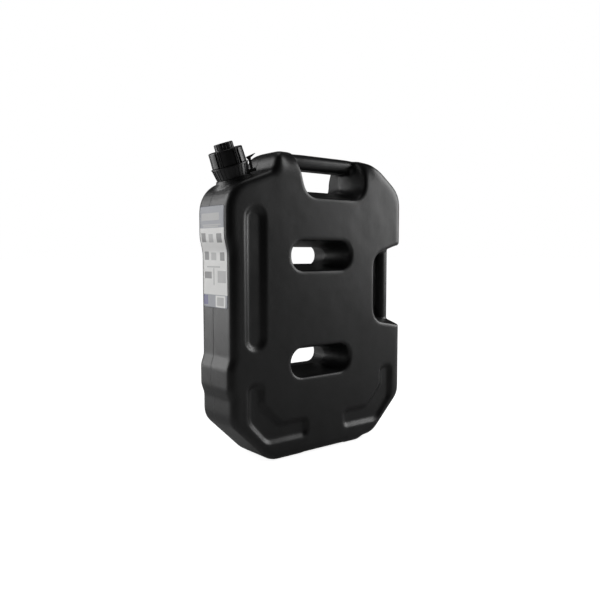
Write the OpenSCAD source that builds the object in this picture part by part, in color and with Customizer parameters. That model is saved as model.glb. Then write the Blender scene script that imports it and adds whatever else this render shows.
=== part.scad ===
// Flat ten litre fuel canister with a tilted neck, two hand grips and two strap slots.
// Millimetres, +Z up, the broad faces look along Y, origin under the middle of the body.

/* [Body] */
// Width over the narrow sides
body_w = 350; // [340:1:370]
// Height to the top of the handle
body_h = 462; // [450:1:480]
// Thickness over the broad faces
body_t = 86; // [82:1:100]
// Wall of the blown body
wall = 3; // [2:0.25:3.5]
// Depth of the rolled edge, seen along the broad face
edge_depth = 10; // [8:0.5:11]
// Width of the rolled edge, seen on the broad face
edge_width = 12; // [9:0.5:14]
// Depth of the waist in the neck side, which takes the label
waist_depth = 5; // [3:0.5:7]
// Width of the bottom chamfers
chamfer_w = 69; // [60:1:76]
// Height of the bottom chamfers
chamfer_h = 66; // [58:1:72]
// Rise of the heel at the grip side
heel_rise = 5; // [3:0.5:7]
// Width of the top shoulder at the grip side
shoulder_w = 68; // [62:1:74]
// Height of the top shoulder at the grip side
shoulder_h = 50; // [44:1:54]
// Depth of the hollow between the feet
foot_depth = 2; // [1:0.5:3]
// Place of the parting line behind the middle plane
parting_y = 7; // [0:1:10]

/* [Grips] */
// Depth of the grip windows below the outline
grip_reach = 67; // [63:1:72]
// Length of the handle window at its floor
handle_len = 119; // [110:1:124]
// Length of the side window at its floor
side_len = 108; // [100:1:114]
// Size of the grip bars across the body
bar_across = 36; // [30:1:40]
// Size of the grip bars from outside to window
bar_deep = 24; // [20:1:26]
// How far the window walls lean in from the front face to the parting line
grip_draft = 13; // [9:0.5:15]
// How far the side bar lies behind the outline
side_bar_in = 3; // [0:0.5:5]
// How much smaller slots and windows are at the back face, on each side
back_in = 7; // [0:0.5:8]

/* [Slots] */
// Length of a strap slot at the face
slot_len = 119; // [105:1:126]
// Height of a strap slot at the face
slot_high = 45; // [40:1:50]
// Length of a strap slot at its waist
slot_waist_len = 93; // [80:1:98]
// Height of a strap slot at its waist
slot_waist_high = 26; // [22:1:28]
// Radius of the rolled rim of slots and windows
rim_r = 4; // [3.5:0.5:5]

/* [Grooves] */
// Width of the long groove at the face
groove_w = 34; // [28:1:38]
// Depth of the pressed grooves
groove_depth = 5; // [3:0.5:6]
// How far the groove walls lean in
groove_lean = 5.5; // [4:0.5:6]

/* [Neck] */
// Tilt of the neck away from upright
neck_tilt = 20; // [15:1:24]
// Radius of the neck outside, under its thread
neck_r = 20; // [18:0.5:20.5]
// Wall of the neck
neck_wall = 2.5; // [2:0.25:3]

/* [Cap] */
// Height of the lock collar
collar_h = 17.5; // [14:0.5:18]
// Height of the ribbed cap ring
ring_h = 22.5; // [20:0.5:26]
// Radius over the pads of the cap ring
ring_r = 26; // [25.5:0.5:28]
// Number of grip pads round the cap ring
pad_count = 6; // [4:1:8]
// Radius of the turret knob
turret_r = 14; // [11:0.5:15]
// Height of the turret knob above the ring
turret_h = 9.5; // [6:0.5:12]
// Thickness of the rubber seal
seal_t = 2; // [1.5:0.25:3]
// Angle of the release tab round the neck
tab_turn = -25; // [-45:1:20]
// Width of the release tab
tab_w = 9; // [6:0.5:12]

/* [Label] */
// Bottom edge of the label above the ground
label_z = 231; // [200:1:236]
// Height of the label
label_h = 146; // [120:1:148]
// Thickness of the label film
label_t = 0.25; // [0.2:0.05:0.5]

/* [Hidden] */
$fn = 48;

// Angle between points along a rounded corner: outside, grooves and hollow
fine_step = 10;
slot_step = 15;
groove_step = 18;
hollow_step = 22;
// Running clearance between the turning pieces
gap = 0.1;
// Overshoot of every cut
over = 2;

half_w = body_w / 2;
half_t = body_t / 2;
waist_x = -half_w + waist_depth;

// The neck stands on the sloped shoulder at this point of the middle plane
neck_x = -half_w + 38.5;
neck_z = body_h - 47;
// Height of the sloped shoulder at a place x
function shoulder_z(x) = neck_z + tan(neck_tilt) * (x - neck_x);

// Left wall of the block beside the handle: its foot and its top
block_foot_x = -half_w + 80;
block_top_x = -half_w + 91;

// Lower corner of the chamfer at the grip side, past the raised heel
heel_x = half_w - 96;
chamfer_low_z = heel_rise + 1;
chamfer_low_x = half_w - chamfer_w * (chamfer_h - chamfer_low_z) / chamfer_h;

// The two bulges of the neck side
upper_bulge_z = body_h - 130;
lower_bulge_z = [115, 146];
bulge_run = 22;
lower_run = 14;

// Corners of the body in the broad plane: x, z and radius, counter-clockwise from the front
body_corners = [
  [waist_x + chamfer_w, 0, 35],
  [heel_x, 0, 20],
  [heel_x + 12, heel_rise, 20],
  [chamfer_low_x, chamfer_low_z, 40],
  [half_w, chamfer_h, 30],
  [half_w, body_h - shoulder_h, 40],
  [half_w - shoulder_w, body_h, 115],
  [block_top_x, body_h, 24],
  [block_foot_x, shoulder_z(block_foot_x), 12],
  [-half_w, shoulder_z(-half_w), 46],
  [-half_w, upper_bulge_z, 20],
  [waist_x, upper_bulge_z - bulge_run, 20],
  [waist_x, lower_bulge_z[1] + lower_run, 15],
  [-half_w, lower_bulge_z[1], 15],
  [-half_w, lower_bulge_z[0], 15],
  [waist_x, lower_bulge_z[0] - lower_run, 15],
  [waist_x, chamfer_h, 30]
];
body_mid = [0, body_h / 2];

// Corners of the handle window and of the side window at the face
window_floor_z = body_h - grip_reach;
window_x = -33;
handle_corners = [
  [window_x, window_floor_z, 25],
  [window_x + handle_len, window_floor_z, 25],
  [window_x + handle_len + 6, body_h + 23, 20, 1],
  [window_x - 26, body_h + 23, 20, 1]
];
handle_mid = [window_x + handle_len / 2, body_h - 25];
side_floor_x = half_w + 2 - grip_reach;
side_z = 198;
side_corners = [
  [side_floor_x, side_z, 25],
  [half_w + 23, side_z - 16, 20, 1],
  [half_w + 23, side_z + side_len + 27, 20, 1],
  [side_floor_x, side_z + side_len, 25]
];
side_mid = [half_w - 30, side_z + side_len / 2];

// Middles of the two strap slots
slot_mids = [[-3, 306], [-4, 143]];

// The pressed grooves: one long one and one at each bottom corner
groove_mid_x = -half_w + 46.5;
groove_z = [169, 376];
corner_out_x = -half_w + 32;
corner_in_x = corner_out_x + 27;
corner_top_z = 121;
corner_foot_z = 28;
corner_leg_z = corner_foot_z + 29;
corner_end_x = -32;
corner_mirror_x = 5;

// Foot of the crown over the handle, its ends, and the run over which it fades out
crown_z = body_h - 40;
crown_x = [-half_w + 82, half_w - 58];
crown_run = 26;

// Places along the neck axis, from the shoulder up
seat_s = 5;
collar_top = seat_s + collar_h;
ring_low = collar_top + 0.5;
ring_top = ring_low + ring_h;
ring_roof = 2.5;
flange_t = 2.5;
flange_top = ring_top - ring_roof - gap;
flange_low = flange_top - flange_t;
seal_low = flange_low - seal_t;
lip_s = seal_low - gap;
thread_deep = 1.5;
bore_r = neck_r + thread_deep + gap;
collar_bore = neck_r + gap;
turret_hole = turret_r + 0.4;

// Turns an angle into the range from -180 to 180
function wrap(a) = a > 180 ? a - 360 : a < -180 ? a + 360 : a;

// Direction of the side that leaves corner i
function heading(v, i) =
  let (n = len(v), p = v[i % n], q = v[(i + 1) % n])
  atan2(q[1] - p[1], q[0] - p[0]);

// Points of one rounded corner, moved inwards by d about the same centre
function corner(v, i, d, step) =
  let (
    a = heading(v, i + len(v) - 1),
    turn = wrap(heading(v, i) - a),
    side = sign(turn),
    r = v[i][2],
    n1 = [sin(a), -cos(a)],
    n2 = [sin(a + turn), -cos(a + turn)],
    c = [v[i][0], v[i][1]] - side * r * (n1 + n2) / (1 + n1 * n2),
    steps = len(v[i]) > 3 ? v[i][3] : max(1, round(abs(turn) / step))
  )
  [for (k = [0:steps])
    let (b = a + turn * k / steps)
    c + side * (r - side * d) * [sin(b), -cos(b)]];

// A rounded outline, moved inwards by d
function rounded(v, d = 0, step = fine_step) =
  [for (i = [0:len(v) - 1]) each corner(v, i, d, step)];

// A list of [place along Y, inset] for one face, mirrored to the other face
function both_faces(one) =
  concat(one, [for (k = [len(one) - 1:-1:0]) if (one[k][0] < 0) [-one[k][0], one[k][1]]]);

// Rolled edge of a hollow or solid body that is smaller than the outside by shrink
function roll(shrink, steps) = both_faces([
  for (k = [0:steps])
    let (a = 90 * k / steps)
    [
      -half_t + shrink + (edge_depth - shrink) * (1 - cos(a)),
      shrink + (edge_width - shrink) * (1 - sin(a))
    ]
]);

// Rolled rim of an opening: the cutter for the outside, or grown by a wall for the hollow
function rim(grow) =
  let (r = max(rim_r - grow, 0.5), step = grow > 0 ? 90 : 45)
  concat(
    [[-half_t - over, -grow - r]],
    [for (a = [0:step:90]) [-half_t + rim_r - r * cos(a), -grow - r * (1 - sin(a))]]
  );

// A pressed groove: the cutter for the outside, or grown by a wall for the hollow
function press(grow) =
  let (soft = 1.2, side = 0.9 * grow)
  grow > 0
    ? [[-half_t - over, -side], [-half_t + grow, -side], [-half_t + grow + groove_depth, groove_lean - side]]
    : [
      [-half_t - over, -soft],
      [-half_t, -soft],
      [-half_t + soft, 0],
      [-half_t + groove_depth - soft, groove_lean - soft],
      [-half_t + groove_depth, groove_lean]
    ];

// Closed skin through rings of points, each counter-clockwise seen from the first end
module loft(rings, first_mid, last_mid) {
  n = len(rings[0]);
  m = len(rings);
  points = concat([for (r = rings) each r], [first_mid, last_mid]);
  sides = [for (k = [0:m - 2]) each [
    for (i = [0:n - 1])
      let (j = (i + 1) % n)
      [k * n + i, k * n + j, (k + 1) * n + j, (k + 1) * n + i]
  ]];
  first = [for (i = [0:n - 1]) [m * n, (i + 1) % n, i]];
  last = [for (i = [0:n - 1]) [m * n + 1, (m - 1) * n + i, (m - 1) * n + (i + 1) % n]];
  polyhedron(points, concat(sides, first, last));
}

// Skin through one outline for each place along Y
module skin(ys, rings, mid) {
  end = len(ys) - 1;
  loft(
    [for (k = [0:end]) [for (p = rings[k]) [p[0], ys[k], p[1]]]],
    [mid[0], ys[0], mid[1]],
    [mid[0], ys[end], mid[1]]
  );
}

// Levels of an opening: both rims, and the narrowest place on the parting line
function through(grow, waist) =
  let (one = rim(grow))
  concat(
    one,
    [[parting_y, waist]],
    [for (k = [len(one) - 1:-1:0]) [-one[k][0], one[k][1] + back_in]]
  );

// Skin of one outline that grows and shrinks along Y
module inset_skin(v, levels, mid, step = fine_step) {
  skin([for (l = levels) l[0]], [for (l = levels) rounded(v, l[1], step)], mid);
}

// The body with rolled edges, or its hollow when shrink is the wall
module rolled_body(shrink, steps, step = fine_step) {
  inset_skin(body_corners, roll(shrink, steps), body_mid, step);
}

// Cutter of a grip window, drafted from both faces to the parting line
module window(v, mid, grow) {
  step = grow > 0 ? hollow_step : slot_step;
  inset_skin(v, through(grow, grip_draft - grow), mid, step);
}

// One ring of a strap slot
function slot_ring(mid, half_len, half_high, step) =
  let (r = half_high - 0.4)
  rounded([
    [mid[0] - half_len, mid[1] - half_high, r],
    [mid[0] + half_len, mid[1] - half_high, r],
    [mid[0] + half_len, mid[1] + half_high, r],
    [mid[0] - half_len, mid[1] + half_high, r]
  ], 0, step);

// Cutter of a strap slot, with its waist on the parting line
module slot(mid, grow) {
  step = grow > 0 ? hollow_step : slot_step;
  levels = through(grow, 0);
  skin(
    [for (l = levels) l[0]],
    [for (l = levels)
      l[0] == parting_y
        ? slot_ring(mid, slot_waist_len / 2 + grow, slot_waist_high / 2 + grow, step)
        : slot_ring(mid, slot_len / 2 - l[1], slot_high / 2 - l[1], step)],
    mid
  );
}

// Puts a cutter into both faces
module on_both_faces() {
  children();
  mirror([0, 1, 0]) children();
}

// Cutter of the long groove in the front face
module long_groove(grow) {
  r = groove_w / 2 - 0.4;
  x = [groove_mid_x - groove_w / 2, groove_mid_x + groove_w / 2];
  v = [
    [x[0], groove_z[0], r],
    [x[1], groove_z[0], r],
    [x[1], groove_z[1], r],
    [x[0], groove_z[1], r]
  ];
  step = grow > 0 ? hollow_step : groove_step;
  inset_skin(v, press(grow), [groove_mid_x, (groove_z[0] + groove_z[1]) / 2], step);
}

// Cutter of the bent groove at the bottom corner of the neck side
module corner_groove(grow) {
  v = [
    [corner_out_x, corner_top_z, 11],
    [corner_out_x, corner_foot_z + 36, 20],
    [corner_out_x + 33, corner_foot_z, 20],
    [corner_end_x, corner_foot_z, 10],
    [corner_end_x, corner_leg_z, 10],
    [corner_in_x + 32, corner_leg_z, 8],
    [corner_in_x, corner_leg_z + 32, 8],
    [corner_in_x, corner_top_z, 11]
  ];
  step = grow > 0 ? hollow_step : groove_step;
  inset_skin(v, press(grow), [corner_in_x - groove_lean - 0.8, corner_leg_z - groove_lean - 0.8], step);
}

// All grooves of the front face
module grooves(grow) {
  long_groove(grow);
  corner_groove(grow);
  translate([corner_mirror_x, 0, 0])
    mirror([1, 0, 0])
      translate([-corner_mirror_x, 0, 0])
        corner_groove(grow);
}

// Half thickness of the top at a place x: full at both ends of the crown, the bar's in between
function top_half(x) =
  let (
    t = min(1, max(0, min(x - crown_x[0], crown_x[1] - x) / crown_run)),
    full = half_t + 0.2
  )
  full - (full - bar_across / 2) * t * t * (3 - 2 * t);

// One section of the crown cutter across X
function crown_ring(x, grow) =
  let (
    top = top_half(x) - grow,
    low = -half_t - 0.2 + grow,
    out = -half_t - 2 * over,
    high = body_h + 2 * over
  )
  concat(
    [[x, out, crown_z], [x, out, high], [x, -top, high]],
    [for (t = [90:-15:0])
      [x, low + (-top - low) * (1 - cos(t)), crown_z + (body_h - grow - crown_z) * sin(t)]]
  );

// Cutter that rounds the top of the front face towards the handle and fades out at both ends
module crown(grow) {
  xs = concat(
    [for (k = [0:3]) crown_x[0] + crown_run * k / 3],
    [for (k = [3:-1:0]) crown_x[1] - crown_run * k / 3]
  );
  mid_y = -half_t - 1.5 * over;
  mid_z = body_h + 1.5 * over;
  loft(
    [for (x = xs) crown_ring(x, grow)],
    [crown_x[0], mid_y, mid_z],
    [crown_x[1], mid_y, mid_z]
  );
}

// Hollow between the feet, cut across the underside
module foot_hollow(grow) {
  x = [-42 - grow, 50 + grow];
  depth = foot_depth + grow;
  rotate([90, 0, 0])
    linear_extrude(height = body_t + 2 * over, center = true)
      polygon([
        [x[0] - over, -over],
        [x[1] + over, -over],
        [x[1] - 2 * depth, depth],
        [x[0] + 2 * depth, depth]
      ]);
}

// Rounded section of a grip bar, as a bar along Z
module bar(low, high, shrink) {
  w = bar_across / 2 - shrink;
  d = bar_deep / 2 - shrink;
  r = d - 0.5;
  translate([0, 0, low])
    linear_extrude(height = high - low)
      polygon(rounded([[-d, -w, r], [d, -w, r], [d, w, r], [-d, w, r]]));
}

// The bar over the handle window
module handle_bar(shrink, longer) {
  translate([0, 0, body_h - bar_deep / 2])
    rotate([0, 90, 0])
      bar(window_x - 13 - longer, window_x + handle_len - 2 + longer, shrink);
}

// The bar beside the side window
module side_bar(shrink, longer) {
  translate([half_w - side_bar_in - bar_deep / 2, 0, 0])
    bar(side_z - 16 - longer, side_z + side_len + 22 + longer, shrink);
}

// Puts a piece on the neck axis, with its zero on the shoulder
module on_neck() {
  translate([neck_x, 0, neck_z]) rotate([0, -neck_tilt, 0]) children();
}

// Revolved neck with the flare that grows out of the shoulder
module neck() {
  seat_r = neck_r + 6;
  flare_w = 4.5;
  root_s = -3 * wall;
  flare = [for (a = [0:15:90]) [seat_r + flare_w * (1 - sin(a)), -0.6 + (seat_s + 0.6) * (1 - cos(a))]];
  rotate_extrude()
    polygon(concat(
      [[0, root_s], [seat_r + flare_w, root_s]],
      flare,
      [[neck_r, seat_s], [neck_r, lip_s - 0.6], [neck_r - 0.6, lip_s], [0, lip_s]]
    ));
}

// Outside of the body with every opening and groove
module outside() {
  difference() {
    rolled_body(0, 4);
    window(handle_corners, handle_mid, 0);
    window(side_corners, side_mid, 0);
    for (m = slot_mids) slot(m, 0);
    on_both_faces() grooves(0);
    on_both_faces() crown(0);
    foot_hollow(0);
  }
  handle_bar(0, 0);
  side_bar(0, 0);
}

// Hollow of the body, one wall inside everything
module hollow() {
  difference() {
    rolled_body(wall, 2, hollow_step);
    window(handle_corners, handle_mid, wall);
    window(side_corners, side_mid, wall);
    for (m = slot_mids) slot(m, wall);
    on_both_faces() grooves(wall);
    on_both_faces() crown(wall);
    foot_hollow(wall);
  }
  handle_bar(wall, 8);
  side_bar(wall, 8);
}

// Blown body with its neck, walls, windows, slots and grooves
module canister_body() {
  color("#1b1b1d")
    difference() {
      union() {
        outside();
        on_neck() neck();
      }
      hollow();
      on_neck()
        translate([0, 0, -5 * wall])
          cylinder(r = neck_r - neck_wall, h = lip_s + 5 * wall + over);
    }
}

// Ribbed collar that locks on the foot of the neck and carries the release tab
module lock_collar() {
  low_r = neck_r + 3.5;
  top_r = neck_r + 6.5;
  rim_t = 1.4;
  rib_count = 28;
  color("#1a1a1c")
    on_neck()
      difference() {
        union() {
          rotate_extrude()
            polygon([
              [collar_bore, seat_s],
              [low_r, seat_s],
              [top_r, collar_top - rim_t],
              [top_r + 1.2, collar_top - rim_t],
              [top_r + 1.2, collar_top],
              [collar_bore, collar_top]
            ]);
          for (i = [0:rib_count - 1])
            rotate([0, 0, tab_turn + 360 * (i + 0.5) / rib_count])
              rotate([90, 0, 0])
                linear_extrude(height = 1.6, center = true)
                  polygon([
                    [low_r - 1, seat_s + 0.8],
                    [low_r + 0.8, seat_s + 0.8],
                    [top_r + 0.8, collar_top - rim_t / 2],
                    [top_r - 1, collar_top - rim_t / 2]
                  ]);
          rotate([0, 0, tab_turn])
            translate([neck_r + 1, -tab_w / 2 - 1.5, seat_s])
              cube([14, tab_w + 3, tab_foot - seat_s - 0.3]);
        }
        rotate([0, 0, tab_turn])
          translate([top_r - 0.6, -tab_w / 2 - 0.6, tab_foot - 0.3])
            cube([8, tab_w + 1.2, collar_h]);
      }
}

// Height of the hinge line of the release tab above the shoulder
tab_foot = seat_s + 4.3;
// Inner face of the tab, clear of the pads of the ring
tab_in = ring_r + 0.9;

// Thumb tab with its wing, on a thin root that flexes
module release_tab() {
  color("#161618")
    on_neck()
      rotate([0, 0, tab_turn])
        rotate([90, 0, 0])
          linear_extrude(height = tab_w, center = true)
            polygon([
              [tab_in + 1.6, tab_foot],
              [tab_in + 3.4, tab_foot],
              [tab_in + 4.4, tab_foot + 1.2],
              [tab_in + 5.2, collar_top],
              [tab_in + 5.6, collar_top + 2.2],
              [tab_in + 9.5, collar_top + 4.0],
              [tab_in + 14.2, collar_top + 6.4],
              [tab_in + 8.0, collar_top + 5.6],
              [tab_in + 0.4, collar_top + 4.6],
              [tab_in, collar_top + 3.6],
              [tab_in + 2.2, collar_top - 1],
              [tab_in + 1.8, tab_foot + 4]
            ]);
}

// Outline of the cap ring from above: wide pads with fine ribs between them
module ring_plan() {
  core_r = ring_r - 2.2;
  pad_angle = 0.58 * 360 / pad_count;
  circle(r = core_r);
  for (i = [0:pad_count - 1])
    rotate(360 * i / pad_count) {
      intersection() {
        circle(r = ring_r + 1);
        polygon([
          [0, 0],
          for (t = [-1, 1]) 2 * ring_r * [cos(t * pad_angle / 2), sin(t * pad_angle / 2)]
        ]);
      }
      for (t = [-1, 1])
        rotate(180 / pad_count + t * 3.4)
          translate([core_r - 1, -0.7])
            square([2.2, 1.4]);
    }
}

// Screwed ring that clamps the plug on the neck
module cap_ring() {
  soft = 2.4;
  color("#1a1a1c")
    on_neck()
      difference() {
        intersection() {
          translate([0, 0, ring_low]) linear_extrude(height = ring_h) ring_plan();
          rotate_extrude()
            polygon(concat(
              [[0, ring_low], [ring_r - 0.4, ring_low], [ring_r, ring_low + 0.8]],
              [for (a = [0:18:90])
                [ring_r - 0.7 - soft * (1 - cos(a)), ring_top - soft * (1 - sin(a))]],
              [[0, ring_top]]
            ));
        }
        translate([0, 0, ring_low - over])
          cylinder(r = bore_r, h = flange_top + gap - ring_low + over);
        cylinder(r = turret_hole, h = ring_top + over);
      }
}

// Stopper with the turret knob that stands through the ring
module plug_turret() {
  flute_count = 12;
  top_s = ring_top + turret_h;
  color("#18181a")
    on_neck()
      difference() {
        rotate_extrude()
          polygon([
            [0, flange_low - 4],
            [neck_r - neck_wall - 1.3, flange_low - 4],
            [neck_r - neck_wall - 0.3, flange_low - 3],
            [neck_r - neck_wall - 0.3, flange_low],
            [bore_r - 0.4, flange_low],
            [bore_r - 0.4, flange_top],
            [turret_r, flange_top],
            [turret_r, top_s - 1],
            [turret_r - 1, top_s],
            [turret_r - 3, top_s],
            [turret_r - 3.6, top_s - 1.2],
            [0, top_s - 1.2]
          ]);
        for (i = [0:flute_count - 1])
          rotate([0, 0, 360 * (i + 0.5) / flute_count])
            translate([turret_r + 1, 0, ring_top + 0.8])
              cylinder(r = 2, h = turret_h + over);
      }
}

// Flat rubber ring between the plug and the lip of the neck
module plug_seal() {
  color("#303030")
    on_neck()
      rotate_extrude()
        translate([neck_r - neck_wall + 0.1, seal_low])
          square([neck_wall + 0.9, seal_t]);
}

// Film label on the waist and the upper bulge of the neck side
module side_label() {
  color("#c9ccd2")
    rotate([90, 0, 0])
      linear_extrude(height = body_t - 2 * edge_depth, center = true)
        intersection() {
          difference() {
            polygon(rounded(body_corners, -label_t));
            polygon(rounded(body_corners, 0));
          }
          translate([-half_w - over, label_z]) square([4 * over + waist_depth, label_h]);
        }
}

canister_body();
lock_collar();
release_tab();
cap_ring();
plug_turret();
plug_seal();
side_label();
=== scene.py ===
# %% [markdown]
# A black fuel canister is one blow-moulded shell with a handle window, a side grip and two
# strap slots, a screw cap on a slanted neck and a printed film label on its narrow side. The
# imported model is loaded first: it is the fixed frame that every finer piece is built around,
# in metres.

# %% Frame
import math

import bmesh
import bpy
import numpy as np
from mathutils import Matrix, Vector
from mathutils.bvhtree import BVHTree


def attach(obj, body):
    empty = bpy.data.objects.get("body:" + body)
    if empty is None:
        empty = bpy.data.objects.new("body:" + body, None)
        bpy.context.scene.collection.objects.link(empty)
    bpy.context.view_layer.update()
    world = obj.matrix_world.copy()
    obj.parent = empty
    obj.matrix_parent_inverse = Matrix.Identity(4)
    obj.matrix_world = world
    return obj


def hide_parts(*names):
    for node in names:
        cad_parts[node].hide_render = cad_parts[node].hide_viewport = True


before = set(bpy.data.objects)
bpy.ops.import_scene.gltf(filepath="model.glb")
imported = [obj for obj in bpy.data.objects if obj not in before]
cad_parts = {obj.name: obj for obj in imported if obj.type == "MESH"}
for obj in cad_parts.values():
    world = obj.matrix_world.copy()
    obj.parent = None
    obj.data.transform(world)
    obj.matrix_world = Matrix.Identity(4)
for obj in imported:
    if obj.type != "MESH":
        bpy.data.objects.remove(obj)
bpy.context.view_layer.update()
MM = 0.001

# %% [markdown]
# The picture was taken from the front left, a little above the middle of the can, with a
# slightly wide lens. A camera is set by a place, a line of sight and a lens, so the same
# three are written down here, and nothing is shifted or blurred.

# %% Camera
CAMERA_PLACE = Vector((-0.6504, -0.7937, 0.3099))
CAMERA_HEADING = math.radians(51.27)
CAMERA_DIP = math.radians(4.20)
sight = Vector((
    math.cos(CAMERA_HEADING) * math.cos(CAMERA_DIP),
    math.sin(CAMERA_HEADING) * math.cos(CAMERA_DIP),
    -math.sin(CAMERA_DIP),
))
camera = bpy.data.objects.new("camera", bpy.data.cameras.new("camera"))
camera.data.lens = 38.4
camera.data.sensor_width = 36.0
camera.data.sensor_fit = "HORIZONTAL"
camera.location = CAMERA_PLACE
camera.rotation_euler = sight.to_track_quat("-Z", "Y").to_euler()
bpy.context.collection.objects.link(camera)
bpy.context.scene.camera = camera
bpy.context.scene.view_settings.view_transform = "Standard"
print("camera: lens", round(camera.data.lens, 1), "mm")

# %% [markdown]
# Every piece ends as a mesh object. Two small helpers save repeating the same lines: one
# turns lists of points and faces into an object, and one bakes an object's modifiers into
# a plain mesh, so that numbers can be worked on directly.

# %% Mesh helpers
def piece_from(name, points, faces):
    mesh = bpy.data.meshes.new(name)
    mesh.from_pydata([tuple(p) for p in points], [], faces)
    mesh.update()
    piece = bpy.data.objects.new(name, mesh)
    bpy.context.collection.objects.link(piece)
    return piece


def settle(piece):
    """Replaces the piece's mesh by what its modifiers make of it."""
    ready = piece.evaluated_get(bpy.context.evaluated_depsgraph_get())
    old, new = piece.data, bpy.data.meshes.new_from_object(ready)
    piece.modifiers.clear()
    piece.data = new
    bpy.data.meshes.remove(old)
    return new


def face_outwards(piece):
    work = bmesh.new()
    work.from_mesh(piece.data)
    bmesh.ops.recalc_face_normals(work, faces=work.faces)
    work.to_mesh(piece.data)
    work.free()


def shade_smooth(piece):
    piece.data.polygons.foreach_set("use_smooth", [True] * len(piece.data.polygons))
    piece.data.update()


# %% [markdown]
# The neck leans 20 degrees outwards, away from the handle. Round parts on it are easiest to
# describe along its own line: s is the distance up the neck, r the distance from the line,
# and a the angle around it.

# %% Neck line
NECK_FOOT = Vector((-0.1365, 0.0, 0.415))
NECK_TILT = math.radians(20)
NECK_UP = Vector((-math.sin(NECK_TILT), 0.0, math.cos(NECK_TILT)))
NECK_SIDE = Vector((math.cos(NECK_TILT), 0.0, math.sin(NECK_TILT)))
NECK_BACK = NECK_UP.cross(NECK_SIDE)


def on_neck(r, a, s):
    outwards = NECK_SIDE * math.cos(a) + NECK_BACK * math.sin(a)
    return NECK_FOOT + NECK_UP * (s * MM) + outwards * (r * MM)


def turned(name, profile, turns=64):
    """A lathe piece from (r, s) pairs that start and end on the neck line."""
    points, faces = [on_neck(0, 0, profile[0][1])], []
    inner = profile[1:-1]
    for r, s in inner:
        points += [on_neck(r, 2 * math.pi * k / turns, s) for k in range(turns)]
    points.append(on_neck(0, 0, profile[-1][1]))
    last = len(points) - 1
    for k in range(turns):
        nxt = (k + 1) % turns
        faces.append((0, 1 + nxt, 1 + k))
        for row in range(len(inner) - 1):
            low, high = 1 + row * turns, 1 + (row + 1) * turns
            faces.append((low + k, low + nxt, high + nxt, high + k))
        top = 1 + (len(inner) - 1) * turns
        faces.append((last, top + k, top + nxt))
    piece = piece_from(name, points, faces)
    face_outwards(piece)
    return piece


print("neck line: up", [round(c, 3) for c in NECK_UP])

# %% [markdown]
# Blow moulding leaves no sharp edge anywhere: the plastic skin stretches round every corner
# of the mould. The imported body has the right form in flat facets, so its mesh is copied,
# its neck is cut off for a lathe piece of its own, and a fine voxel remesh turns it into
# an even net of small faces that can be relaxed like a stretched skin.

# %% Body net
VOXEL = 1.35 * MM
SEAT = 5.0
CUT_R, CUT_TOP = 22, 60
CORK_R, CORK_FOOT = 19.5, -6
shell = bpy.data.objects.new("shell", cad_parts["canister_body"].data.copy())
bpy.context.collection.objects.link(shell)
weld = shell.modifiers.new("weld", "WELD")
weld.merge_threshold = 0.01 * MM
settle(shell)

cutter = turned("neck_cutter", [(0, SEAT), (CUT_R, SEAT), (CUT_R, CUT_TOP), (0, CUT_TOP)])
cut = shell.modifiers.new("cut", "BOOLEAN")
cut.operation, cut.solver, cut.object = "DIFFERENCE", "EXACT", cutter
settle(shell)
bpy.data.objects.remove(cutter)

cork = turned("cork", [(0, CORK_FOOT), (CORK_R, CORK_FOOT), (CORK_R, SEAT), (0, SEAT)])
joined = bmesh.new()
joined.from_mesh(shell.data)
joined.from_mesh(cork.data)
joined.to_mesh(shell.data)
joined.free()
bpy.data.objects.remove(cork)

net = shell.modifiers.new("net", "REMESH")
net.mode, net.voxel_size, net.adaptivity = "VOXEL", VOXEL, 0.0
settle(shell)
print("body net:", len(shell.data.vertices), "points")

# %% [markdown]
# Relaxing moves every point a little towards the mean of its neighbours, again and again.
# Eight rounds on this net soften every edge and leave flat walls where they are. The nose of
# the handle block and the long shoulder are one soft sweep on the real can, so they take many
# more rounds, fading out round a few chosen middles. Round the neck's seat the skin is held
# nearly still, so that the turned neck still meets it.

# %% Relaxed skin
def relax(mesh, rounds, share):
    count = len(mesh.vertices)
    place = np.empty(count * 3)
    mesh.vertices.foreach_get("co", place)
    place = place.reshape(count, 3)
    ends = np.empty(len(mesh.edges) * 2, dtype=np.int32)
    mesh.edges.foreach_get("vertices", ends)
    a, b = ends.reshape(-1, 2).T
    degree = np.maximum(np.bincount(ends, minlength=count), 1)[:, None]
    pull = share(place)[:, None]
    for _ in range(rounds):
        mean = np.stack([
            np.bincount(a, place[b, k], count) + np.bincount(b, place[a, k], count) for k in range(3)
        ], axis=1) / degree
        place += pull * (mean - place)
    place[:, 2] = np.maximum(place[:, 2], 0.0)
    mesh.vertices.foreach_set("co", place.ravel())
    mesh.update()


PULL = 0.5
SEAT_PULL = 0.15
SEAT_REACH = 0.028
SEAT_DEPTH = 0.004


def off_seat(place):
    away = place - np.array(NECK_FOOT)
    s = away @ np.array(NECK_UP)
    r = np.linalg.norm(away - s[:, None] * np.array(NECK_UP), axis=1)
    return np.where((r < SEAT_REACH) & (s > -SEAT_DEPTH), SEAT_PULL, 1.0)


SOFT_SPOTS = [
    # middle X, middle Z, reach: the nose of the block, the sweep beside the window, the shoulder
    (-0.075, 0.455, 0.034),
    (-0.050, 0.462, 0.030),
    (0.105, 0.452, 0.034),
    (0.150, 0.425, 0.045),
]
SPOT_SLOPE = 1.6


def in_soft_spots(place):
    most = np.zeros(len(place))
    for x, z, reach in SOFT_SPOTS:
        off = np.hypot(place[:, 0] - x, place[:, 2] - z) / reach
        most = np.maximum(most, np.clip(SPOT_SLOPE * (1 - off), 0, 1))
    return PULL * most * off_seat(place)


ROUNDS, SOFT_ROUNDS = 8, 60
relax(shell.data, ROUNDS, lambda place: PULL * off_seat(place))
relax(shell.data, SOFT_ROUNDS, in_soft_spots)
print("skin relaxed:", ROUNDS, "rounds, and", SOFT_ROUNDS, "more in the soft spots")

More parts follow.
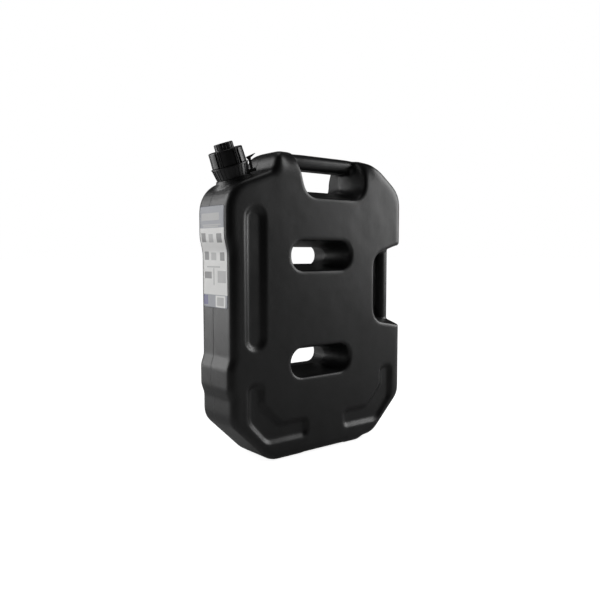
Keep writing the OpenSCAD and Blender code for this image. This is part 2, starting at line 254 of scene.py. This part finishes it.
# %% [markdown]
# The net is far finer than its flat walls need. Decimating joins triangles where the skin is
# flat and keeps them where it bends, which brings the body to a size that others can use.

# %% Lighter net
BODY_TRIANGLES = 190000


def triangles_of(mesh):
    return sum(len(p.vertices) - 2 for p in mesh.polygons)


triangles = triangles_of(shell.data)
thin = shell.modifiers.new("thin", "DECIMATE")
thin.ratio = min(1.0, BODY_TRIANGLES / triangles)
settle(shell)
shell.name = "canister_shell"
shell.data.name = "canister_shell"
shade_smooth(shell)
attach(shell, "can")
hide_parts("canister_body")
print("shell:", triangles, "triangles brought down to", triangles_of(shell.data))

# %% [markdown]
# The neck is a turned form: a tube with a rounded lip, and a screw thread of nearly three
# turns around it. The thread climbs 4 mm a turn, which is what the cap rises when it is turned
# once, so the cap's own thread can run between its turns without touching them.

# %% Neck and threads
PITCH = 4.0
NECK_R, BORE_R, LIP = 20.0, 17.5, 38.3
CAP_BORE = 21.6
# Crest radius, start up the neck and turns of each thread
NECK_THREAD = (21.3, 24.5, 2.75)
CAP_THREAD = (20.3, 26.5, 2.5)


def thread(root_r, crest_r, start, turns, root_half=1.0, crest_half=0.5):
    """Points and faces of a ridge wound round the neck line, tapered at both ends."""
    steps = 48
    total = int(turns * steps)
    points, faces = [], []
    sunk = -0.3 if crest_r > root_r else 0.3
    for k in range(total + 1):
        a = 2 * math.pi * k / steps
        middle = start + PITCH * k / steps
        rise = min(1.0, k / 10, (total - k) / 10)
        crest = root_r + (crest_r - root_r) * max(rise, 0.05)
        points += [
            on_neck(root_r + sunk, a, middle - root_half), on_neck(crest, a, middle - crest_half),
            on_neck(crest, a, middle + crest_half), on_neck(root_r + sunk, a, middle + root_half),
        ]
    for k in range(total):
        for j in range(4):
            near, far = 4 * k + j, 4 * k + (j + 1) % 4
            faces.append((near, far, far + 4, near + 4))
    faces += [(3, 2, 1, 0), tuple(4 * total + j for j in range(4))]
    return points, faces


def add_thread(piece, *sizes):
    ridge = piece_from("ridge", *thread(*sizes))
    face_outwards(ridge)
    work = bmesh.new()
    work.from_mesh(piece.data)
    work.from_mesh(ridge.data)
    work.to_mesh(piece.data)
    work.free()
    bpy.data.objects.remove(ridge)


neck = turned("neck", [
    (0, 3), (NECK_R, 3), (NECK_R, LIP - 0.8), (NECK_R - 0.3, LIP - 0.2), (NECK_R - 0.8, LIP),
    (BORE_R + 0.6, LIP), (BORE_R + 0.1, LIP - 0.3), (BORE_R, LIP - 0.9), (BORE_R, SEAT), (0, SEAT),
])
add_thread(neck, NECK_R, *NECK_THREAD)
shade_smooth(neck)
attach(neck, "can")
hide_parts("canister_body")

cap_thread = piece_from("cap_thread", *thread(CAP_BORE, *CAP_THREAD, 1.0, 0.4))
face_outwards(cap_thread)
shade_smooth(cap_thread)
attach(cap_thread, "ring")
print("neck and threads:", len(neck.data.polygons), "and", len(cap_thread.data.polygons), "faces")

# %% [markdown]
# The label is a film stuck to the narrow side, so it takes the side's own curve. A grid of
# points is thrown at the shell along X, and each lands where the film lies: its back just
# in the plastic, its front a third of a millimetre proud. Its corners are rounded.

# %% Label film
LABEL_LOW, LABEL_HIGH, LABEL_HALF = 0.231, 0.377, 0.033
LABEL_CORNER = 0.004
LABEL_STEP = 1.2 * MM
FILM = 0.30 * MM
FILM_ROOT = 0.10 * MM
IN_FRONT_OF_SIDE = -0.4
skin = BVHTree.FromPolygons(
    [v.co.copy() for v in shell.data.vertices], [tuple(p.vertices) for p in shell.data.polygons])


def label_rows():
    columns = round(2 * LABEL_HALF / LABEL_STEP)
    rows = round((LABEL_HIGH - LABEL_LOW) / LABEL_STEP)
    for i in range(rows + 1):
        z = LABEL_LOW + (LABEL_HIGH - LABEL_LOW) * i / rows
        edge = min(z - LABEL_LOW, LABEL_HIGH - z)
        short = LABEL_CORNER - edge
        half = LABEL_HALF
        if short > 0:
            half -= LABEL_CORNER - math.sqrt(max(LABEL_CORNER ** 2 - short ** 2, 0.0))
        yield [(half * (2 * j / columns - 1), z) for j in range(columns + 1)]


rows = list(label_rows())
wide = len(rows[0])
front, back = [], []
for row in rows:
    for y, z in row:
        spot, facing, _, _ = skin.ray_cast(Vector((IN_FRONT_OF_SIDE, y, z)), Vector((1, 0, 0)))
        front.append(spot + facing * FILM)
        back.append(spot - facing * FILM_ROOT)
count = len(front)
faces = []
for i in range(len(rows) - 1):
    for j in range(wide - 1):
        k = i * wide + j
        faces.append((k, k + wide, k + wide + 1, k + 1))
        faces.append((count + k, count + k + 1, count + k + wide + 1, count + k + wide))
border = (
    list(range(wide)) + [i * wide + wide - 1 for i in range(1, len(rows))]
    + [(len(rows) - 1) * wide + j for j in range(wide - 2, -1, -1)]
    + [i * wide for i in range(len(rows) - 2, 0, -1)]
)
for k, here in enumerate(border):
    there = border[(k + 1) % len(border)]
    faces.append((here, there, count + there, count + here))
label = piece_from("label_film", front + back, faces)
face_outwards(label)
shade_smooth(label)
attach(label, "can")
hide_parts("side_label")
print("label film:", len(label.data.polygons), "faces")

# %% [markdown]
# The cap's parts are right as packed, apart from their knife-sharp edges. Injection moulding
# rounds an edge by a few tenths of a millimetre, so a narrow bevel is laid over each, and
# the normals are weighted so that the flats stay flat.

# %% Soft edges on the cap
CAP_EDGES = {
    "lock_collar": 0.45, "cap_ring": 0.6, "plug_turret": 0.5, "release_tab": 0.6, "plug_seal": 0.3,
}
for name, radius in CAP_EDGES.items():
    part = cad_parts[name]
    part.modifiers.new("weld", "WELD").merge_threshold = 0.005 * MM
    soft = part.modifiers.new("soft_edges", "BEVEL")
    soft.width, soft.segments = radius * MM, 2
    soft.limit_method, soft.angle_limit = "ANGLE", math.radians(28)
    part.modifiers.new("flat_faces", "WEIGHTED_NORMAL").keep_sharp = True
print("soft edges on", ", ".join(CAP_EDGES))

# %% [markdown]
# Materials are built from nodes. One helper adds a node with its settings and inputs, where
# an input may be a number, a colour or another node's output, and one opens a group whose
# inputs and outputs have names, for effects that several materials share.

# %% Node helpers
def add(tree, kind, inputs=None, **settings):
    made = tree.nodes.new(kind)
    for key, value in settings.items():
        setattr(made, key, value)
    for key, value in (inputs or {}).items():
        if isinstance(value, bpy.types.NodeSocket):
            tree.links.new(value, made.inputs[key])
        else:
            made.inputs[key].default_value = value
    return made


def math_of(tree, operation, *values):
    return add(tree, "ShaderNodeMath", dict(enumerate(values)), operation=operation).outputs[0]


def mixed(tree, share, a, b):
    made = add(tree, "ShaderNodeMix", {0: share, 6: a, 7: b}, data_type="RGBA")
    return made.outputs[2]


def mapped(tree, value, low, high, new_low, new_high):
    made = add(tree, "ShaderNodeMapRange", {0: value, 1: low, 2: high, 3: new_low, 4: new_high})
    return made.outputs[0]


def noise(tree, place, scale, detail=3.0, rough=0.5):
    made = add(tree, "ShaderNodeTexNoise", {
        "Vector": place, "Scale": scale, "Detail": detail, "Roughness": rough,
    })
    return made.outputs[0]


def open_group(name, inputs, outputs):
    """A node group; inputs are name: start value, outputs are name: socket kind."""
    tree = bpy.data.node_groups.new(name, "ShaderNodeTree")
    for key, value in inputs.items():
        kind = "NodeSocketColor" if isinstance(value, tuple) else "NodeSocketFloat"
        socket = tree.interface.new_socket(name=key, in_out="INPUT", socket_type=kind)
        socket.default_value = value
    for key, kind in outputs.items():
        tree.interface.new_socket(name=key, in_out="OUTPUT", socket_type=kind)
    given = tree.nodes.new("NodeGroupInput").outputs
    place = add(tree, "ShaderNodeTexCoord").outputs["Object"]
    return tree, given, place, tree.nodes.new("NodeGroupOutput").inputs


def use(tree, group, **values):
    made = tree.nodes.new("ShaderNodeGroup")
    made.node_tree = group
    for key, value in values.items():
        socket = made.inputs[key.replace("_", " ")]
        if isinstance(value, bpy.types.NodeSocket):
            tree.links.new(value, socket)
        else:
            socket.default_value = value
    return made.outputs


print("node helpers ready")

# %% [markdown]
# Black moulded plastic is never one even black. Recycled resin is a little cloudy, the
# mould's own grain shows as fine pimples, and the thick walls cool into shallow waves.
# Three groups hold these effects: a cloudy colour, a grain height and an uneven gloss.

# %% Shared effects
cloud, given, place, out = open_group(
    "cloudy_colour",
    {"Dark": (0.01, 0.01, 0.01, 1), "Light": (0.02, 0.02, 0.02, 1), "Patches": 14.0, "Flecks": 420.0},
    {"Colour": "NodeSocketColor"})
patches = mapped(cloud, noise(cloud, place, given["Patches"], 4.0, 0.6), 0.35, 0.68, 0.0, 1.0)
flecks = mapped(cloud, noise(cloud, place, given["Flecks"], 2.0), 0.35, 0.7, 0.0, 1.0)
most = math_of(cloud, "MULTIPLY", patches, 0.7)
rest = math_of(cloud, "MULTIPLY", flecks, 0.3)
spread = math_of(cloud, "ADD", most, rest)
cloud.links.new(mixed(cloud, spread, given["Dark"], given["Light"]), out["Colour"])

grain, given, place, out = open_group(
    "moulded_grain", {"Pimples": 900.0, "Pimple depth": 0.5, "Waves": 26.0, "Wave depth": 0.5},
    {"Height": "NodeSocketFloat"})
fine = math_of(grain, "MULTIPLY", noise(grain, place, given["Pimples"], 2.0, 0.6), given["Pimple depth"])
broad = math_of(grain, "MULTIPLY", noise(grain, place, given["Waves"], 2.0, 0.4), given["Wave depth"])
grain.links.new(math_of(grain, "ADD", fine, broad), out["Height"])

gloss, given, place, out = open_group(
    "uneven_gloss", {"Middle": 0.42, "Spread": 0.08, "Patches": 30.0}, {"Roughness": "NodeSocketFloat"})
haze = math_of(gloss, "SUBTRACT", noise(gloss, place, given["Patches"], 5.0, 0.65), 0.5)
haze = math_of(gloss, "MULTIPLY", haze, math_of(gloss, "MULTIPLY", given["Spread"], 2.0))
gloss.links.new(math_of(gloss, "ADD", haze, given["Middle"]), out["Roughness"])

# %% [markdown]
# Handling leaves marks: short pale scratches where the can is set down and slid along, and
# a light rub over the whole skin. The group gives a mask that is strongest at a height
# that the material names, and fades away from it.

# %% Rub marks
rubs, given, place, out = open_group(
    "rub_marks", {"Full at": 0.0, "Gone at": 0.05, "Everywhere": 0.05, "Length": 60.0},
    {"Mask": "NodeSocketFloat"})
apart = add(rubs, "ShaderNodeSeparateXYZ", {0: place}).outputs
worn = mapped(rubs, apart[2], given["Full at"], given["Gone at"], 1.0, 0.0)
stretch = add(rubs, "ShaderNodeMapping", {
    "Vector": place, "Rotation": (0.3, 0.5, 0.2), "Scale": (1.0, 6.0, 9.0),
})
scratch = noise(rubs, stretch.outputs[0], given["Length"], 6.0, 0.7)
scratch = mapped(rubs, scratch, 0.60, 0.72, 0.0, 1.0)
reach = math_of(rubs, "MAXIMUM", worn, given["Everywhere"])
rubs.links.new(math_of(rubs, "MULTIPLY", scratch, reach), out["Mask"])
print("groups:", ", ".join(g.name for g in bpy.data.node_groups))

# %% [markdown]
# Each finish starts the same way: a new material whose Principled shader has its constant
# values written on its own sockets. The nodes that vary over the surface are linked in
# afterwards, one line each.

# %% Finishes
def open_finish(name, **sockets):
    finish = bpy.data.materials.new(name)
    finish.use_nodes = True
    shader = finish.node_tree.nodes["Principled BSDF"]
    for key, value in sockets.items():
        shader.inputs[key.replace("_", " ")].default_value = value
    return finish, finish.node_tree, shader.inputs


def bumped(tree, height, depth, strength=1.0):
    made = add(tree, "ShaderNodeBump", {"Height": height, "Distance": depth, "Strength": strength})
    return made.outputs[0]


def dress(piece, finish):
    piece.data.materials.clear()
    piece.data.materials.append(finish)


# %% [markdown]
# The shell is black satin polyethylene. The two halves of the mould meet in a thin raised
# line round the narrow sides and through the windows, 7 mm behind the middle, so the bump
# gets a ridge at that depth as well as the grain.

# %% Body plastic
SEAM_Y, SEAM_HALF = 0.007, 0.0007
body_plastic, tree, shader = open_finish("body_plastic", IOR=1.5)
colour = use(
    tree, cloud, Dark=(0.0070, 0.0072, 0.0074, 1), Light=(0.0125, 0.0127, 0.0130, 1),
    Patches=14.0, Flecks=420.0)
marks = use(tree, rubs, Full_at=0.0, Gone_at=0.035, Everywhere=0.10, Length=55.0)
pale = mixed(tree, math_of(tree, "MULTIPLY", marks["Mask"], 0.5), colour["Colour"], (0.06, 0.06, 0.06, 1))
tree.links.new(pale, shader["Base Color"])
sheen_map = use(tree, gloss, Middle=0.37, Spread=0.06, Patches=34.0)
tree.links.new(sheen_map["Roughness"], shader["Roughness"])
pimples = use(tree, grain, Pimples=1100.0, Pimple_depth=0.10, Waves=22.0, Wave_depth=0.9)
where = add(tree, "ShaderNodeSeparateXYZ", {0: add(tree, "ShaderNodeTexCoord").outputs["Object"]}).outputs
off_seam = math_of(tree, "ABSOLUTE", math_of(tree, "SUBTRACT", where[1], SEAM_Y))
seam = mapped(tree, off_seam, 0.0, SEAM_HALF, 0.35, 0.0)
tree.links.new(bumped(tree, math_of(tree, "ADD", pimples["Height"], seam), 0.0009), shader["Normal"])
dress(shell, body_plastic)
dress(neck, body_plastic)
print("body plastic:", len(tree.nodes), "nodes")

# %% [markdown]
# The cap parts are injection moulded from a slightly glossier black. Their grain is finer,
# they have no long waves, and fingers keep the grips a little brighter than the rest.

# %% Cap plastic and seal rubber
cap_plastic, tree, shader = open_finish("cap_plastic", IOR=1.5)
colour = use(
    tree, cloud, Dark=(0.009, 0.009, 0.0095, 1), Light=(0.016, 0.016, 0.017, 1),
    Patches=40.0, Flecks=700.0)
marks = use(tree, rubs, Full_at=0.48, Gone_at=0.40, Everywhere=0.3, Length=90.0)
pale = mixed(tree, math_of(tree, "MULTIPLY", marks["Mask"], 0.35), colour["Colour"], (0.07, 0.07, 0.07, 1))
tree.links.new(pale, shader["Base Color"])
sheen_map = use(tree, gloss, Middle=0.36, Spread=0.06, Patches=80.0)
tree.links.new(sheen_map["Roughness"], shader["Roughness"])
pimples = use(tree, grain, Pimples=1800.0, Pimple_depth=0.5, Waves=120.0, Wave_depth=0.5)
tree.links.new(bumped(tree, pimples["Height"], 0.00006), shader["Normal"])
for name in ("lock_collar", "cap_ring", "plug_turret", "release_tab"):
    dress(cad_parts[name], cap_plastic)
dress(cap_thread, cap_plastic)

seal_rubber, tree, shader = open_finish("seal_rubber", IOR=1.52)
colour = use(
    tree, cloud, Dark=(0.012, 0.012, 0.013, 1), Light=(0.030, 0.030, 0.032, 1),
    Patches=60.0, Flecks=900.0)
tree.links.new(colour["Colour"], shader["Base Color"])
sheen_map = use(tree, gloss, Middle=0.72, Spread=0.08, Patches=120.0)
tree.links.new(sheen_map["Roughness"], shader["Roughness"])
pimples = use(tree, grain, Pimples=1500.0, Pimple_depth=0.6, Waves=150.0, Wave_depth=0.4)
tree.links.new(bumped(tree, pimples["Height"], 0.00012), shader["Normal"])
dress(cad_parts["plug_seal"], seal_rubber)
print("cap plastic and seal rubber made")

# %% [markdown]
# The label is printed in flat fields: a blue-grey band at the top, a white sheet with grey
# boxes in the middle and a blue-grey band at the foot. One group makes a box mask with
# slightly soft corners, and the label places it once for each field, with the field's own
# colour, middle and half sizes.

# %% Label print
box_mask, given, place, out = open_group(
    "printed_box", {"Middle Y": 0.0, "Middle Z": 0.3, "Half Y": 0.01, "Half Z": 0.01},
    {"Mask": "NodeSocketFloat"})
apart = add(box_mask, "ShaderNodeSeparateXYZ", {0: place}).outputs
sides = []
for axis, middle, half in ((1, "Middle Y", "Half Y"), (2, "Middle Z", "Half Z")):
    off = math_of(box_mask, "ABSOLUTE", math_of(box_mask, "SUBTRACT", apart[axis], given[middle]))
    sides.append(math_of(box_mask, "SUBTRACT", off, given[half]))
outside = math_of(box_mask, "SMOOTH_MAX", sides[0], sides[1], 0.0012)
box_mask.links.new(mapped(box_mask, outside, -0.0002, 0.0002, 1.0, 0.0), out["Mask"])

PAPER = (0.62, 0.62, 0.61, 1)
BAND = (0.19, 0.20, 0.23, 1)
GREY = (0.11, 0.11, 0.11, 1)
SOFT_GREY = (0.32, 0.32, 0.32, 1)
BLUE = (0.030, 0.028, 0.150, 1)
FIELDS = [
    # colour, middle Y, middle Z, half Y, half Z
    (BAND, 0.0, 0.362, 0.040, 0.0165),
    (SOFT_GREY, 0.004, 0.3615, 0.024, 0.0052),
    (SOFT_GREY, 0.0, 0.3500, 0.025, 0.0008),
    (SOFT_GREY, 0.003, 0.3475, 0.020, 0.0008),
    (BAND, 0.0, 0.2385, 0.040, 0.0115),
    (GREY, 0.023, 0.332, 0.006, 0.0065),
    (SOFT_GREY, 0.003, 0.331, 0.006, 0.0060),
    (GREY, -0.019, 0.331, 0.007, 0.0065),
    (GREY, 0.022, 0.306, 0.006, 0.0060),
    (SOFT_GREY, 0.003, 0.305, 0.007, 0.0055),
    (GREY, -0.020, 0.305, 0.006, 0.0060),
    (SOFT_GREY, 0.004, 0.290, 0.018, 0.0010),
    (GREY, 0.019, 0.278, 0.010, 0.0050),
    (SOFT_GREY, -0.018, 0.276, 0.011, 0.0085),
    (GREY, 0.003, 0.276, 0.0009, 0.0125),
    (BLUE, 0.026, 0.2420, 0.006, 0.0070),
    (PAPER, -0.014, 0.2405, 0.013, 0.0085),
    (SOFT_GREY, -0.014, 0.2405, 0.009, 0.0060),
]
label_print, tree, shader = open_finish("label_film", IOR=1.5)
darker_paper = tuple(0.93 * c for c in PAPER[:3]) + (1,)
paper = use(tree, cloud, Dark=darker_paper, Light=PAPER, Patches=60.0, Flecks=600.0)
tone = paper["Colour"]
for colour, y, z, half_y, half_z in FIELDS:
    field = use(tree, box_mask, Middle_Y=y, Middle_Z=z, Half_Y=half_y, Half_Z=half_z)
    tone = mixed(tree, field["Mask"], tone, colour)
tree.links.new(tone, shader["Base Color"])
sheen_map = use(tree, gloss, Middle=0.30, Spread=0.06, Patches=70.0)
tree.links.new(sheen_map["Roughness"], shader["Roughness"])
creases = use(tree, grain, Pimples=700.0, Pimple_depth=0.15, Waves=60.0, Wave_depth=0.85)
tree.links.new(bumped(tree, creases["Height"], 0.0004), shader["Normal"])
dress(label, label_print)
print("label print:", len(FIELDS), "fields")

# %% [markdown]
# The can stands on a plain pale floor in front of nothing but white. The floor and the world
# are white to the camera alone, so the background gives the object next to no light. Black
# plastic shows little but what it reflects, so round it the studio is dim.

# %% Floor and world
FLOOR_REACH = 30.0
corners = [(x * FLOOR_REACH, y * FLOOR_REACH, 0) for x, y in ((-1, -1), (1, -1), (1, 1), (-1, 1))]
floor = piece_from("floor", corners, [(0, 1, 2, 3)])
pale_floor, tree, shader = open_finish("pale_floor", Roughness=0.9)
shader["Base Color"].default_value = (0.55, 0.55, 0.55, 1)
shader["Emission Color"].default_value = (1, 1, 1, 1)
seen = add(tree, "ShaderNodeLightPath").outputs["Is Camera Ray"]
place = add(tree, "ShaderNodeTexCoord").outputs["Object"]
away = add(tree, "ShaderNodeVectorMath", {0: place}, operation="LENGTH")
white = mapped(tree, away.outputs["Value"], 0.5, 2.5, 0.88, 1.0)
tree.links.new(math_of(tree, "MULTIPLY", seen, white), shader["Emission Strength"])
dress(floor, pale_floor)

world = bpy.data.worlds.new("studio")
bpy.context.scene.world = world
world.use_nodes = True
tree = world.node_tree
sky = tree.nodes["Background"]
sky.inputs["Color"].default_value = (1, 1, 1, 1)
seen = add(tree, "ShaderNodeLightPath").outputs["Is Camera Ray"]
tree.links.new(mapped(tree, seen, 0.0, 1.0, 0.03, 1.0), sky.inputs["Strength"])
print("floor and world made")

# %% [markdown]
# Two soft boxes make the picture's light. One stands behind on the left and gives the narrow
# side its even sheen, and one stands in front on the right and lights the broad face from
# its upper right corner down. A weak one overhead fills the tops.

# %% Soft boxes
def soft_box(name, place, aim, wide, high, watts):
    lamp = bpy.data.objects.new(name, bpy.data.lights.new(name, "AREA"))
    lamp.data.shape = "RECTANGLE"
    lamp.data.size, lamp.data.size_y, lamp.data.energy = wide, high, watts
    lamp.location = place
    lamp.rotation_euler = (Vector(aim) - Vector(place)).to_track_quat("-Z", "Y").to_euler()
    lamp.visible_camera = False
    bpy.context.collection.objects.link(lamp)


soft_box("left_box", (-1.10, 0.95, 0.62), (-0.17, 0.0, 0.30), 1.2, 1.7, 22)
soft_box("right_box", (1.50, -0.70, 0.80), (0.1, 0.0, 0.25), 0.9, 1.2, 18)
soft_box("top_box", (0.3, 0.5, 1.9), (0.0, 0.0, 0.3), 1.0, 1.0, 2)

# %% [markdown]
# Last, the view layer is brought up to date, so that every piece stands where it was placed.

# %% Last update
bpy.context.view_layer.update()
